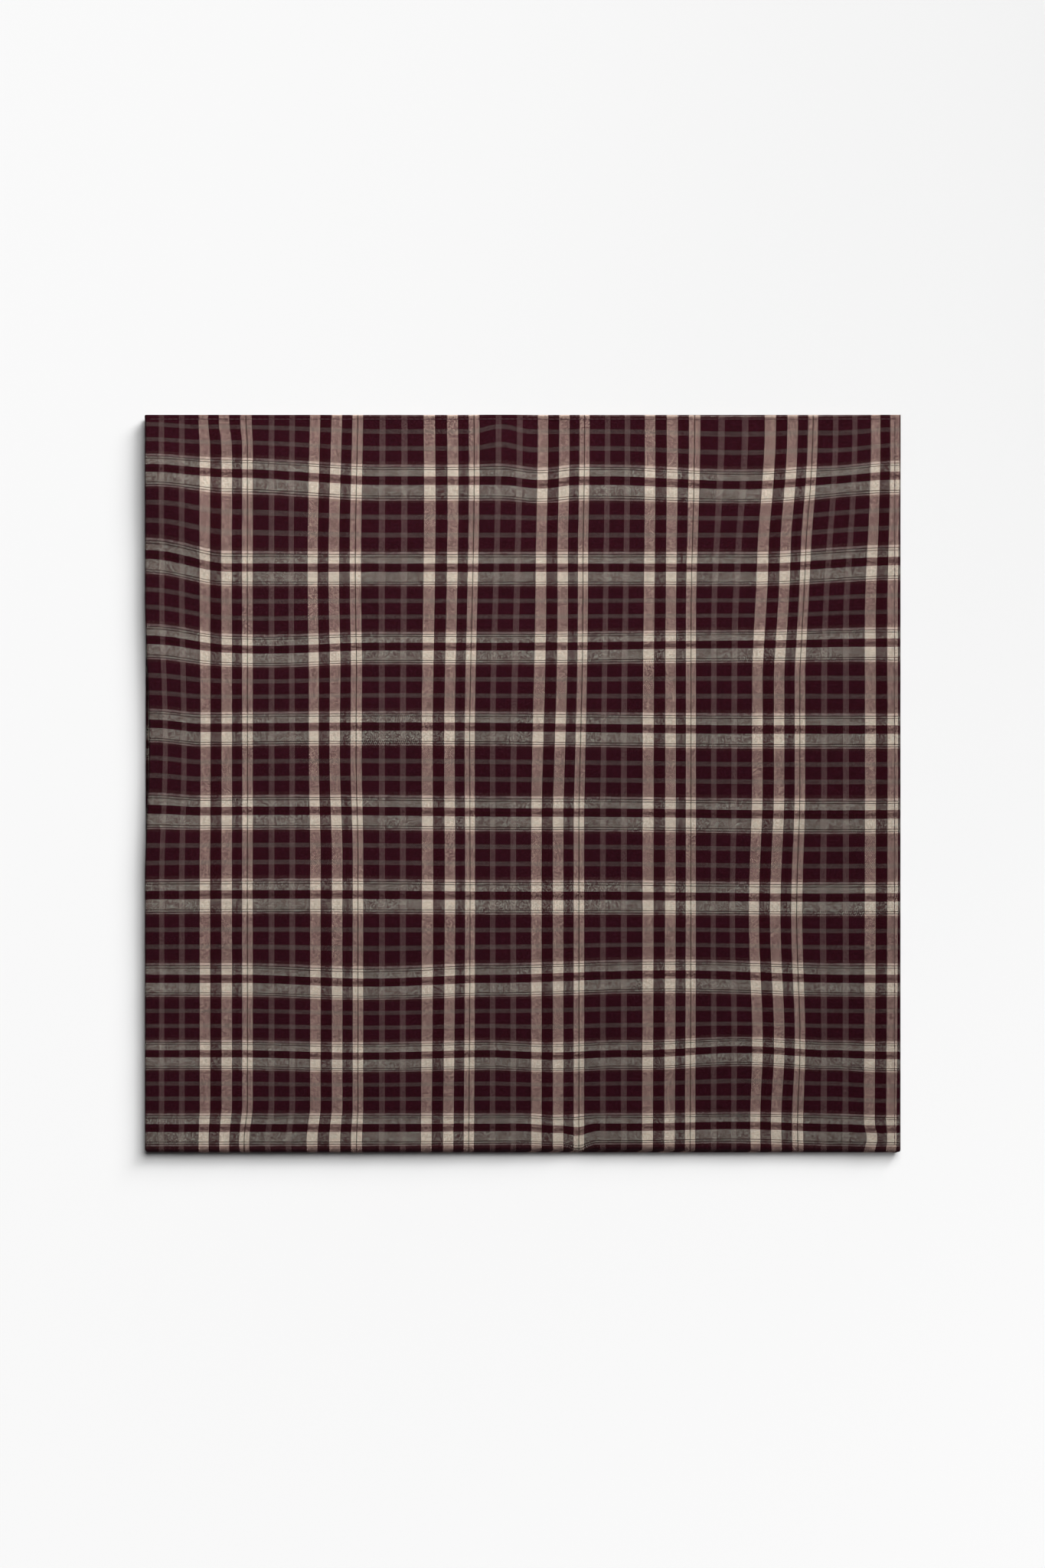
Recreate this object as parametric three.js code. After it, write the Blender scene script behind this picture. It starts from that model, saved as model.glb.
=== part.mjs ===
import * as THREE from 'three';
import { mergeVertices } from 'three/addons/utils/BufferGeometryUtils.js';

// Folded bandana: one square of hemmed plaid cloth, folded in half and in half again, lying flat.
// Millimetres. The first fold is on the left, -X. The second is at the near side, -Y. +Z is up.
// The hems of all four layers lie on the right and at the far side.
// The origin is on the surface under the cloth, in the middle of the pile.

// Size of the pile as it lies
const FOLDED_WIDTH = 350;
const FOLDED_LENGTH = 341.5;

// Cloth, and the air between two layers of it
const CLOTH = 1;
const GAP = 0.4;
const LAYERS = 4;

// The bends: two layers go round the first fold, and both turn together round the second
const FIRST_FOLD_INSIDE = GAP / 2;
const FIRST_FOLD_OUTSIDE = FIRST_FOLD_INSIDE + CLOTH;
const PAIR = 2 * CLOTH + GAP;
const SECOND_FOLD_MIDDLE = GAP / 2 + PAIR / 2;
const SECOND_FOLD_OUTSIDE = GAP / 2 + PAIR;
const NEAT_HEIGHT = 2 * SECOND_FOLD_OUTSIDE;

// How finely the surface is divided
const COLUMNS = 18;
const ROWS = 18;
const FIRST_FOLD_STEPS = 4;
const SECOND_FOLD_STEPS = 6;

// How far each layer's hem lies inside the top layer's, from the bottom layer up
const HEM_SET_BACK = [1.0, 0.4, 0.8, 0];
const HEM_SET_BACK_REACH = 30;

// The upper of the two first folds lies back from the lower one along the middle of the left side
const UPPER_FOLD_BACK = { most: 1.8, middle: 20, halfLength: 66, reach: 35 };

// The top of the second fold lies back from its lower half over most of the near side
const NEAR_FOLD_BACK = { most: 1.4, middle: 48, halfLength: 125, reach: 20 };

// The two near corners are a little round in plan
const CORNER_RADIUS = 1.2;
const CORNER_REACH = 12;

// How the resting layers stand off each other, and the ripples of the top one.
// A ripple has its middle, the turn of its length from +X in degrees, half its length and width, and its height.
const LOFT = 1.2;
const LEAST_LOFT = 0.3;
const RIPPLES = [
  { name: 'left fold ridge', x: -150, y: 118, turn: -50, length: 48, width: 16, height: 1.3 },
  { name: 'far hem ridge', x: -10, y: 160, turn: 90, length: 30, width: 14, height: 1.1 },
  { name: 'far right ridge', x: 155, y: 138, turn: 62, length: 42, width: 16, height: 1.2 },
  { name: 'near crease', x: 26, y: -152, turn: 90, length: 36, width: 14, height: -0.8 },
  { name: 'near left swell', x: -45, y: -128, turn: 10, length: 55, width: 20, height: 0.9 },
  { name: 'near right swell', x: 96, y: -112, turn: -14, length: 60, width: 20, height: 0.8 },
  { name: 'near right pucker', x: 160, y: -160, turn: 90, length: 18, width: 12, height: 0.8 },
  { name: 'middle hollow', x: 0, y: -22, turn: -8, length: 150, width: 26, height: -0.6 },
  { name: 'middle right swell', x: 62, y: 44, turn: 22, length: 95, width: 34, height: 0.8 },
  { name: 'lower left swell', x: -95, y: -62, turn: -16, length: 80, width: 30, height: 0.7 },
];

// Look of the brushed cloth
const COLOUR = 0x4f3436;
const ROUGHNESS = 0.95;

// A smooth hill: 1 at 0, and 0 from 1 on, either way
function hill(t) {
  const inside = Math.max(0, 1 - t * t);
  return inside * inside;
}

// 0 at the low end of a range, 1 at the high end, and smooth between them
function rise(value, low, high) {
  return THREE.MathUtils.smoothstep(value, low, high);
}

// How much of the ripples a height in the neat pile takes: none in the bottom layer, all in the top one
function rippleShare(z) {
  const step = CLOTH + GAP;
  const layer = Math.min(LAYERS - 1, Math.floor(z / step));
  const overLayer = Math.max(0, z - layer * step - CLOTH);
  return Math.min(1, (layer + overLayer / GAP) / (LAYERS - 1));
}

// How far a height in the neat pile is set back at the hems
function hemSetBack(z) {
  const place = rippleShare(z) * (LAYERS - 1);
  const below = Math.floor(place);
  const above = Math.min(LAYERS - 1, below + 1);
  return THREE.MathUtils.lerp(HEM_SET_BACK[below], HEM_SET_BACK[above], place - below);
}

// How high the top layer stands above its place in the neat pile
function rippleHeight(x, y) {
  let height = LOFT;
  for (const ripple of RIPPLES) {
    const turn = THREE.MathUtils.degToRad(ripple.turn);
    const dx = x - ripple.x;
    const dy = y - ripple.y;
    const along = dx * Math.cos(turn) + dy * Math.sin(turn);
    const across = dy * Math.cos(turn) - dx * Math.sin(turn);
    height += ripple.height * hill(along / (1.6 * ripple.length)) * hill(across / (1.6 * ripple.width));
  }
  return Math.max(LEAST_LOFT, height);
}

// How far the sides of the pile draw in at a distance from its near edge, to round a corner
function cornerInset(fromEdge) {
  const short = Math.max(0, CORNER_RADIUS - fromEdge);
  return CORNER_RADIUS - Math.sqrt(CORNER_RADIUS ** 2 - short ** 2);
}

// Moves a point of the neat pile to where the cloth really lies
function settle(point) {
  const { x, y, z } = point;
  const fromLeft = x + FOLDED_WIDTH / 2;
  const fromRight = FOLDED_WIDTH / 2 - x;
  const fromNear = y + FOLDED_LENGTH / 2;
  const fromFar = FOLDED_LENGTH / 2 - y;

  const upperPair = rise(z, PAIR, PAIR + GAP);
  const upperFold = UPPER_FOLD_BACK.most * hill((y - UPPER_FOLD_BACK.middle) / UPPER_FOLD_BACK.halfLength);
  const nearFold = NEAR_FOLD_BACK.most * hill((x - NEAR_FOLD_BACK.middle) / NEAR_FOLD_BACK.halfLength);
  const upperHalf = rise(z, NEAT_HEIGHT / 2, NEAT_HEIGHT);

  point.x += upperPair * upperFold * hill(fromLeft / UPPER_FOLD_BACK.reach);
  point.x -= hemSetBack(z) * hill(fromRight / HEM_SET_BACK_REACH);
  point.x += cornerInset(fromNear) * (hill(fromLeft / CORNER_REACH) - hill(fromRight / CORNER_REACH));
  point.y += upperHalf * nearFold * hill(fromNear / NEAR_FOLD_BACK.reach);
  point.y -= hemSetBack(z) * hill(fromFar / HEM_SET_BACK_REACH);
  point.z += rippleShare(z) * rippleHeight(x, y);
  return point;
}

// A place on a hairpin line: out along a straight run, round half a turn, and back.
// Gives the distance from the fold's edge to the bend's middle as run, and the angle turned so far.
function hairpin(station, runSteps, bendSteps, runLength) {
  if (station <= runSteps) {
    return { run: runLength * (1 - station / runSteps), turned: 0 };
  }
  if (station < runSteps + bendSteps) {
    return { run: 0, turned: (Math.PI * (station - runSteps)) / bendSteps };
  }
  return { run: (runLength * (station - runSteps - bendSteps)) / runSteps, turned: Math.PI };
}

const SECTION_STATIONS = 2 * COLUMNS + FIRST_FOLD_STEPS + 1;
const PATH_STATIONS = 2 * ROWS + SECOND_FOLD_STEPS + 1;

// A point of the pair of layers' section: x across the pile, and height above the pair's middle
function sectionPoint(station, radius) {
  const place = hairpin(station, COLUMNS, FIRST_FOLD_STEPS, FOLDED_WIDTH - FIRST_FOLD_OUTSIDE);
  return {
    x: -FOLDED_WIDTH / 2 + FIRST_FOLD_OUTSIDE + place.run - radius * Math.sin(place.turned),
    height: radius * Math.cos(place.turned),
  };
}

// A point of the cloth: the section's point carried along the second fold's line
function clothPoint(sectionStation, radius, pathStation) {
  const section = sectionPoint(sectionStation, radius);
  const place = hairpin(pathStation, ROWS, SECOND_FOLD_STEPS, FOLDED_LENGTH - SECOND_FOLD_OUTSIDE);
  const reach = SECOND_FOLD_MIDDLE + section.height;
  const neat = new THREE.Vector3(
    section.x,
    -FOLDED_LENGTH / 2 + SECOND_FOLD_OUTSIDE + place.run - reach * Math.sin(place.turned),
    SECOND_FOLD_OUTSIDE + reach * Math.cos(place.turned),
  );
  return settle(neat);
}

// The cloth's closed surface: an outside and an inside grid, joined along its hems
function clothGeometry() {
  const positions = [];
  for (const radius of [FIRST_FOLD_OUTSIDE, FIRST_FOLD_INSIDE]) {
    for (let path = 0; path < PATH_STATIONS; path += 1) {
      for (let section = 0; section < SECTION_STATIONS; section += 1) {
        positions.push(...clothPoint(section, radius, path).toArray());
      }
    }
  }
  const outside = (section, path) => path * SECTION_STATIONS + section;
  const inside = (section, path) => outside(section, path) + PATH_STATIONS * SECTION_STATIONS;

  const triangles = [];
  const quad = (a, b, c, d) => triangles.push(a, b, c, a, c, d);
  const lastSection = SECTION_STATIONS - 1;
  const lastPath = PATH_STATIONS - 1;

  // Diagonals lie the same way in every layer, seen from above, so that rippled layers never touch
  for (let path = 0; path < lastPath; path += 1) {
    for (let section = 0; section < lastSection; section += 1) {
      const lowerOfPair = section >= COLUMNS;
      const returning = path >= ROWS;
      const corners = [[section, path], [section + 1, path], [section + 1, path + 1], [section, path + 1]];
      if (lowerOfPair !== returning) {
        corners.push(corners.shift());
      }
      quad(...corners.map(([s, p]) => outside(s, p)));
      quad(...corners.map(([s, p]) => inside(s, p)).reverse());
    }
  }

  // Hem edges: first the far side's two ends of the line, then the right side's two ends of the section
  for (let section = 0; section < lastSection; section += 1) {
    const next = section + 1;
    quad(inside(section, 0), inside(next, 0), outside(next, 0), outside(section, 0));
    quad(outside(section, lastPath), outside(next, lastPath), inside(next, lastPath), inside(section, lastPath));
  }
  for (let path = 0; path < lastPath; path += 1) {
    const next = path + 1;
    quad(outside(0, path), outside(0, next), inside(0, next), inside(0, path));
    quad(inside(lastSection, path), inside(lastSection, next), outside(lastSection, next), outside(lastSection, path));
  }

  const geometry = new THREE.BufferGeometry();
  geometry.setAttribute('position', new THREE.Float32BufferAttribute(positions, 3));
  geometry.setIndex(triangles);
  const merged = mergeVertices(geometry, 1e-4);
  merged.computeVertexNormals();
  return merged;
}

const cloth = new THREE.MeshStandardMaterial({ color: COLOUR, roughness: ROUGHNESS, metalness: 0 });

const bandana = new THREE.Mesh(clothGeometry(), cloth);
bandana.name = 'bandana';

const pile = new THREE.Group();
pile.add(bandana);

export default pile;
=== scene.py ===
"""The looks of a folded bandana: a square of brushed plaid cotton, hemmed, folded in half and in half again.

The cloth is a thin sheet that follows its solid's folds. It is worked out in millimetres in the sheet's own
flat sizes, as a distance across the cloth and a distance along it, and carried round both folds. The weave,
the check and the stitches are placed by those same two distances.
"""

import logging
import math
from dataclasses import dataclass
from enum import Enum

import bpy
import numpy as np
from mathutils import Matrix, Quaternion, Vector


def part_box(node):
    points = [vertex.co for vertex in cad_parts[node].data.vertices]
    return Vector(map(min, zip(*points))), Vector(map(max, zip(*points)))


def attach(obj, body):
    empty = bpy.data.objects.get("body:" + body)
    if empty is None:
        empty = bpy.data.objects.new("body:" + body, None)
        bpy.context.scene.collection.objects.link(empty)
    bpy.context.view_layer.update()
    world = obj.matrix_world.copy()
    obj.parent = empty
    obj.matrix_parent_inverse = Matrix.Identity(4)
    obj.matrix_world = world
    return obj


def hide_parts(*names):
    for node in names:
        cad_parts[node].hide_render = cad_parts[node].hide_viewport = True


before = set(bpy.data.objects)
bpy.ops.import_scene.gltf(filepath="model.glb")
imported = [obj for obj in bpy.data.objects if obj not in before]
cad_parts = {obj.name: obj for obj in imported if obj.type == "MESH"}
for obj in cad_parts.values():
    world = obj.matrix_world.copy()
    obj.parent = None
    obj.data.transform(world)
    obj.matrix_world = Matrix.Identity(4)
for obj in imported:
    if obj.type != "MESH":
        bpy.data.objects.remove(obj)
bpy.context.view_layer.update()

LOG = logging.getLogger("folded_bandana")
MM = 0.001
NODE = "bandana"
BODY = "root"
SCREEN_GAMMA = 2.2
WHITE = (1.0, 1.0, 1.0, 1.0)

Node = bpy.types.Node
Socket = bpy.types.NodeSocket
Sockets = bpy.types.bpy_prop_collection


def smooth_rise(value: np.ndarray, low: float, high: float) -> np.ndarray:
    """Rises smoothly from 0 to 1.

    Args:
        value: where to read the rise.
        low: where it leaves 0.
        high: where it reaches 1.

    Returns:
        The rise at each value.
    """
    t = np.clip((value - low) / (high - low), 0.0, 1.0)
    return t * t * (3.0 - 2.0 * t)


def hill(t: np.ndarray) -> np.ndarray:
    """Gives a smooth hill that is 1 at 0 and 0 from 1 on, either way."""
    return np.clip(1.0 - t * t, 0.0, None) ** 2


def screen(colour: tuple[int, int, int]) -> tuple[float, float, float, float]:
    """Scales a screen colour from 0 to 255 to one from 0 to 1, with an alpha of 1."""
    return (*(part / 255.0 for part in colour), 1.0)


def object_of_mesh(name: str, points: np.ndarray, quads: np.ndarray) -> bpy.types.Object:
    """Makes a smooth piece and puts it in the scene.

    Args:
        name: the piece's name.
        points: its points, in millimetres.
        quads: four point numbers to a row, turned outwards.

    Returns:
        The piece's object.
    """
    mesh = bpy.data.meshes.new(name)
    mesh.from_pydata((points.reshape(-1, 3) * MM).tolist(), [], quads.tolist())
    mesh.polygons.foreach_set("use_smooth", np.ones(len(mesh.polygons), bool))
    mesh.update()
    piece = bpy.data.objects.new(name, mesh)
    bpy.context.scene.collection.objects.link(piece)
    return piece


@dataclass
class OverheadCamera:
    """A camera straight above the pile, framed as the photo is."""

    focal_mm: float = 85.0
    sensor_mm: float = 36.0
    picture_height_px: float = 2048.0
    pile_width_px: float = 987.0

    def place(self, pile_width: float, edge: float) -> bpy.types.Object:
        """Adds the camera and makes it the scene's.

        Args:
            pile_width: the pile's width, in metres.
            edge: the height of the pile's widest outline, in metres.

        Returns:
            The camera.
        """
        seen_height = self.picture_height_px * pile_width / self.pile_width_px
        distance = seen_height * self.focal_mm / self.sensor_mm
        bpy.ops.object.camera_add(location=(0.0, 0.0, edge + distance), rotation=(0.0, 0.0, 0.0))
        camera = bpy.context.object
        camera.name = "overhead_camera"
        camera.data.lens = self.focal_mm
        camera.data.sensor_width = self.sensor_mm
        bpy.context.scene.camera = camera
        return camera


@dataclass(frozen=True)
class Ripple:
    """A soft ridge or hollow of the top layer, in millimetres.

    Turn is the angle of its length from +X, in degrees. It runs out at reach times its half sizes.
    """

    name: str
    x: float
    y: float
    turn: float
    half_length: float
    half_width: float
    height: float
    reach: float = 1.6

    def at(self, x: np.ndarray, y: np.ndarray) -> np.ndarray:
        """Finds the ripple's height at places in plan.

        Args:
            x: places across the pile.
            y: places along the pile.

        Returns:
            The height at each place.
        """
        turn = math.radians(self.turn)
        along = (x - self.x) * math.cos(turn) + (y - self.y) * math.sin(turn)
        across = (y - self.y) * math.cos(turn) - (x - self.x) * math.sin(turn)
        lengthways = hill(along / (self.reach * self.half_length))
        return self.height * lengthways * hill(across / (self.reach * self.half_width))


@dataclass(frozen=True)
class Crinkle:
    """A faint wave of worn cloth, bent a little by a longer wave.

    Length and height are in millimetres, and turn in degrees. Bend is in radians, and bend_length in lengths.
    """

    length: float
    turn: float
    height: float
    bend: float = 1.7
    bend_length: float = 2.3

    def at(self, x: np.ndarray, y: np.ndarray) -> np.ndarray:
        """Finds the wave's height at places in plan.

        Args:
            x: places across the pile.
            y: places along the pile.

        Returns:
            The height at each place.
        """
        turn = math.radians(self.turn)
        place = x * math.cos(turn) + y * math.sin(turn)
        bend = self.bend * np.sin(place / (self.bend_length * self.length) + self.turn)
        return self.height * np.sin(2 * math.pi * place / self.length + bend)


@dataclass(frozen=True)
class GrainPull:
    """A place where the woven check is pulled to one side, in millimetres.

    Across pulls it to the right, and down pulls it towards the near side.
    """

    name: str
    x: float
    y: float
    reach_x: float
    reach_y: float
    across: float = 0.0
    down: float = 0.0

    def share(self, x: np.ndarray, y: np.ndarray) -> np.ndarray:
        """Gives how much of the pull places in plan take."""
        return hill((x - self.x) / self.reach_x) * hill((y - self.y) / self.reach_y)


RIPPLES = (
    Ripple("left fold ridge", -150, 118, -50, 48, 16, 1.3),
    Ripple("far hem ridge", -10, 160, 90, 30, 12, 1.0),
    Ripple("far right ridge", 155, 138, 62, 42, 16, 1.2),
    Ripple("near crease", 26, -152, 90, 36, 9, -0.8),
    Ripple("near left swell", -45, -128, 10, 55, 20, 0.9),
    Ripple("near right swell", 96, -112, -14, 60, 20, 0.8),
    Ripple("near right pucker", 160, -160, 90, 18, 10, 0.8),
    Ripple("middle hollow", 0, -22, -8, 150, 26, -0.6),
    Ripple("middle right swell", 62, 44, 22, 95, 34, 0.8),
    Ripple("lower left swell", -95, -62, -16, 80, 30, 0.7),
    Ripple("far hem hollow", 11, 156, 84, 24, 8, -0.5),
    Ripple("left hem wrinkle", -146, 160, 70, 18, 7, 0.4),
    Ripple("near crease lip", 36, -150, 84, 26, 6, 0.35),
    Ripple("left middle wrinkle", -140, 40, -24, 30, 9, 0.35),
    Ripple("right middle wrinkle", 128, 18, 40, 34, 10, 0.35),
    Ripple("near left wrinkle", -110, -140, 34, 26, 8, 0.35),
)

CRINKLES = (
    Crinkle(37, 20, 0.06),
    Crinkle(29, 74, 0.05),
    Crinkle(23, 128, 0.05),
    Crinkle(17, 163, 0.035),
    Crinkle(13, 52, 0.03),
)

PULLS = (
    GrainPull("near draw-up", 0, -171, 2000, 82, down=-8.3),
    GrainPull("far spread", 0, 102, 2000, 45, down=2.0),
    GrainPull("left edge lift", -175, 104, 38, 70, down=-6.0),
    GrainPull("far left lift", -140, 145, 75, 45, down=-3.4),
    GrainPull("far left corner lift", -178, 172, 28, 52, down=-2.0),
    GrainPull("far right corner sag", 149, 154, 22, 24, down=1.4),
    GrainPull("left sag", -118, 62, 45, 30, down=1.5),
    GrainPull("left middle lift", -176, 20, 28, 60, down=-2.4),
    GrainPull("middle lift", -60, 25, 170, 45, down=-1.4),
    GrainPull("right edge lift", 178, 112, 70, 75, down=-3.2),
    GrainPull("far right sag", 102, 146, 62, 32, down=2.2),
    GrainPull("right upper lift", 120, 58, 130, 34, down=-1.3),
    GrainPull("far hollow", 8, 140, 17, 24, down=1.6),
    GrainPull("far ridge", -10, 165, 13, 22, down=-2.3),
    GrainPull("left half rise", -110, -28, 110, 60, down=-0.9),
    GrainPull("right half fall", 140, -32, 110, 60, down=1.1),
    GrainPull("lower left sag", -72, -92, 56, 27, down=1.8),
    GrainPull("lower right lift", 68, -90, 82, 30, down=-2.1),
    GrainPull("near left sag", -75, -126, 60, 24, down=1.3),
    GrainPull("near middle sag", 14, -126, 30, 24, down=1.3),
    GrainPull("near right lift", 100, -126, 42, 24, down=-2.3),
    GrainPull("near edge right sag", 170, -138, 28, 36, down=1.2),
    GrainPull("near crease dip", 26, -166, 8, 16, down=2.4),
    GrainPull("near edge dip", 16, -160, 16, 18, down=1.1),
    GrainPull("near edge lift", 100, -160, 44, 18, down=-1.1),
    GrainPull("far right fan", 125, 171, 68, 100, across=6.4),
    GrainPull("far middle fan", 6, 171, 84, 150, across=3.1),
    GrainPull("third set right", -34, 100, 26, 100, across=1.0),
    GrainPull("third set lower right", -34, -50, 24, 160, across=1.1),
    GrainPull("fourth set right", 18, 50, 30, 70, across=1.4),
    GrainPull("fifth set right", 69, 0, 26, 300, across=0.9),
    GrainPull("sixth set right", 120, 85, 30, 36, across=1.7),
    GrainPull("second set left", -86, 15, 24, 50, across=-1.2),
    GrainPull("far left set left", -88, 100, 30, 84, across=-1.6),
    GrainPull("right set left", 116, -60, 34, 56, across=-1.8),
    GrainPull("near left lean", -112, -166, 56, 17, across=-1.9),
    GrainPull("near right lean", 118, -158, 26, 34, across=-1.4),
    GrainPull("far left wobble", -138, 169, 20, 13, across=-1.3),
    GrainPull("left fold", -176, 0, 14, 300, across=1.0),
    GrainPull("right hems", 176, 0, 42, 300, across=1.6),
    GrainPull("near right pucker", 161, -164, 13, 7, across=1.5),
)


@dataclass(frozen=True)
class TurnedHem:
    """A narrow turned hem, with a round edge and a groove at its stitches, past which the cloth is thinner.

    The stitches' inset and the edge's rounding are in millimetres. The other places are shares of the inset,
    and the groove's depth is a share of the field's sink.
    """

    stitch_inset: float
    edge_round: float = 0.5
    least_fullness: float = 0.2
    sink_start: float = 0.72
    groove_depth: float = 1.1
    groove_half_width: float = 0.3
    stations: tuple[float, ...] = (0.0, 0.04, 0.12, 0.3, 0.6, 0.85, 1.0, 1.15, 1.5)
    field_start: float = 2.0

    def fullness(self, from_edge: np.ndarray) -> np.ndarray:
        """Gives how full the round edge is at distances from it, up to 1."""
        short = 1.0 - np.clip(from_edge / self.edge_round, 0.0, 1.0)
        return np.sqrt(np.clip(1.0 - short**2, self.least_fullness**2, 1.0))

    def sink(self, from_edge: np.ndarray) -> np.ndarray:
        """Finds how much of the field's sink the faces take.

        Args:
            from_edge: distances from the hem's edge.

        Returns:
            The share at each distance, over 1 in the groove.
        """
        inset = self.stitch_inset
        groove = hill((from_edge - inset) / (self.groove_half_width * inset))
        return smooth_rise(from_edge, self.sink_start * inset, inset) + self.groove_depth * groove


@dataclass
class FoldedCloth:
    """The cloth as a sheet, in millimetres.

    Distance across the cloth runs from the right hem of the top layer, round the first fold on the left, and
    back. Distance along it runs from the far hem, round the second fold at the near side, and back. The top
    of the near fold lies back as a ledge, which starts over a range of the pile's height, given as shares of
    it, and over a range of the bend, given as shares of the bend.
    """

    width: float = 350.0
    length: float = 341.8
    layer: float = 1.0
    gap: float = 0.4
    layers: int = 4
    right_hem: TurnedHem = TurnedHem(2.7)
    far_hem: TurnedHem = TurnedHem(2.0)
    field_sink: float = 0.1
    most_sink: float = 1.6
    loft: float = 1.2
    least_loft: float = 0.3
    hem_set_back: tuple[float, ...] = (1.0, 0.4, 0.8, 0.0)
    hem_set_back_reach: float = 30.0
    upper_fold_back: float = 1.8
    upper_fold_middle: float = 20.0
    upper_fold_half_length: float = 66.0
    upper_fold_reach: float = 35.0
    near_fold_back: float = 0.8
    near_fold_middle: float = 48.0
    near_fold_half_length: float = 125.0
    near_fold_reach: float = 20.0
    ledge_height: tuple[float, float] = (0.58, 0.74)
    ledge_on_bend: tuple[float, float] = (0.36, 0.4)
    ledge_twist: float = -2.4
    corner_radius: float = 1.2
    corner_reach: float = 12.0
    grain_fade: float = 60.0
    fine_step: float = 3.1
    plain_step: float = 8.0
    bend_steps: int = 24

    def __post_init__(self) -> None:
        """Works out the bends from the layers."""
        self.pair = 2 * self.layer + self.gap
        self.outside = self.gap / 2 + self.layer
        self.first_radius = (self.gap + self.layer) / 2
        self.second_radius = (self.gap + self.pair) / 2
        self.second_outside = self.gap / 2 + self.pair
        self.neat_height = 2 * self.second_outside
        self.run_across = self.width - self.outside
        self.run_along = self.length - self.second_outside
        self.flat_across = 2 * self.run_across + math.pi * self.first_radius
        self.flat_along = 2 * self.run_along + math.pi * self.second_radius

    @staticmethod
    def hairpin(distance: np.ndarray, run: float, radius: float) -> tuple[np.ndarray, np.ndarray]:
        """Follows a line out to a fold, round half a turn, and back.

        Args:
            distance: how far along the line.
            run: the length of each straight run.
            radius: the bend's radius along the line.

        Returns:
            How far the place is from the bend, and the angle turned so far.
        """
        turned = np.clip((distance - run) / radius, 0.0, math.pi)
        back = np.clip(distance - run - math.pi * radius, 0.0, None)
        return np.clip(run - distance, 0.0, None) + back, turned

    def ripple_share(self, z: np.ndarray) -> np.ndarray:
        """Finds how much of the ripples each height in the neat pile takes.

        Args:
            z: the heights.

        Returns:
            None in the bottom layer, all in the top one, and the same through each layer.
        """
        step = self.layer + self.gap
        layer = np.clip(np.floor(z / step), 0, self.layers - 1)
        over = np.clip(z - layer * step - self.layer, 0.0, self.gap)
        return np.clip((layer + over / self.gap) / (self.layers - 1), 0.0, 1.0)

    def ripple_height(self, x: np.ndarray, y: np.ndarray) -> np.ndarray:
        """Finds how high the top layer stands above its place in the neat pile.

        Args:
            x: places across the pile.
            y: places along the pile.

        Returns:
            The height at each place.
        """
        height = self.loft + sum(ripple.at(x, y) for ripple in RIPPLES)
        return np.maximum(self.least_loft, height) + sum(crinkle.at(x, y) for crinkle in CRINKLES)

    def settle(self, x: np.ndarray, y: np.ndarray, z: np.ndarray) -> np.ndarray:
        """Moves places of the neat pile to where the cloth really lies.

        Args:
            x: places across the pile.
            y: places along the pile.
            z: heights in it.

        Returns:
            The points, one to a row.
        """
        from_left, from_right = x + self.width / 2, self.width / 2 - x
        from_near, from_far = y + self.length / 2, self.length / 2 - y
        share = self.ripple_share(z)
        set_back = np.interp(share * (self.layers - 1), range(self.layers), self.hem_set_back)
        upper_pair = smooth_rise(z, self.pair, self.pair + self.gap)
        upper_back = self.upper_fold_back * hill((y - self.upper_fold_middle) / self.upper_fold_half_length)
        ledge_low, ledge_high = (part * self.neat_height for part in self.ledge_height)
        ledge = smooth_rise(z, ledge_low, ledge_high)
        short = np.clip(self.corner_radius - from_near, 0.0, self.corner_radius)
        inset = self.corner_radius - np.sqrt(self.corner_radius**2 - short**2)
        inwards = hill(from_left / self.corner_reach) - hill(from_right / self.corner_reach)

        moved_x = x + upper_pair * upper_back * hill(from_left / self.upper_fold_reach)
        moved_x = moved_x - set_back * hill(from_right / self.hem_set_back_reach) + inset * inwards
        moved_y = y + ledge * self.near_back(x) * hill(from_near / self.near_fold_reach)
        moved_y = moved_y - set_back * hill(from_far / self.hem_set_back_reach)
        moved_z = z + share * self.ripple_height(x, y)
        return np.stack([moved_x, moved_y, moved_z], axis=-1)

    def near_back(self, x: np.ndarray) -> np.ndarray:
        """Gives how far the top of the second fold lies back from its lower half."""
        return self.near_fold_back * hill((x - self.near_fold_middle) / self.near_fold_half_length)

    def neat(self, across: np.ndarray, along: np.ndarray, out: np.ndarray) -> tuple[np.ndarray, ...]:
        """Finds places of the cloth in the neat pile.

        Args:
            across: distance across the cloth.
            along: distance along the cloth.
            out: distance out from the middle between the pair of layers.

        Returns:
            Their x, y and z.
        """
        run, turned = self.hairpin(across, self.run_across, self.first_radius)
        x = -self.width / 2 + self.outside + run - out * np.sin(turned)
        height = out * np.cos(turned)
        run, turned = self.hairpin(along, self.run_along, self.second_radius)
        reach = self.second_radius + height
        y = -self.length / 2 + self.second_outside + run - reach * np.sin(turned)
        z = self.second_outside + reach * np.cos(turned)
        return x, y, z

    def lay(self, across: np.ndarray, along: np.ndarray, out: np.ndarray) -> np.ndarray:
        """Gives the settled points of places of the cloth, one to a row."""
        return self.settle(*self.neat(across, along, out))

    def faces(self, across: np.ndarray, along: np.ndarray) -> tuple[np.ndarray, np.ndarray]:
        """Finds how far out the cloth's two faces lie from the middle between the pair of layers.

        Args:
            across: distance across the cloth.
            along: distance along the cloth.

        Returns:
            The outer face's distance out, and the inner one's.
        """
        from_right = np.minimum(across, self.flat_across - across)
        from_far = np.minimum(along, self.flat_along - along)
        sink = np.minimum(self.right_hem.sink(from_right), self.far_hem.sink(from_far))
        fullness = np.minimum(self.right_hem.fullness(from_right), self.far_hem.fullness(from_far))
        half = fullness * (self.layer / 2 - self.field_sink * np.minimum(sink, self.most_sink))
        return self.first_radius + half, self.first_radius - half

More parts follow.
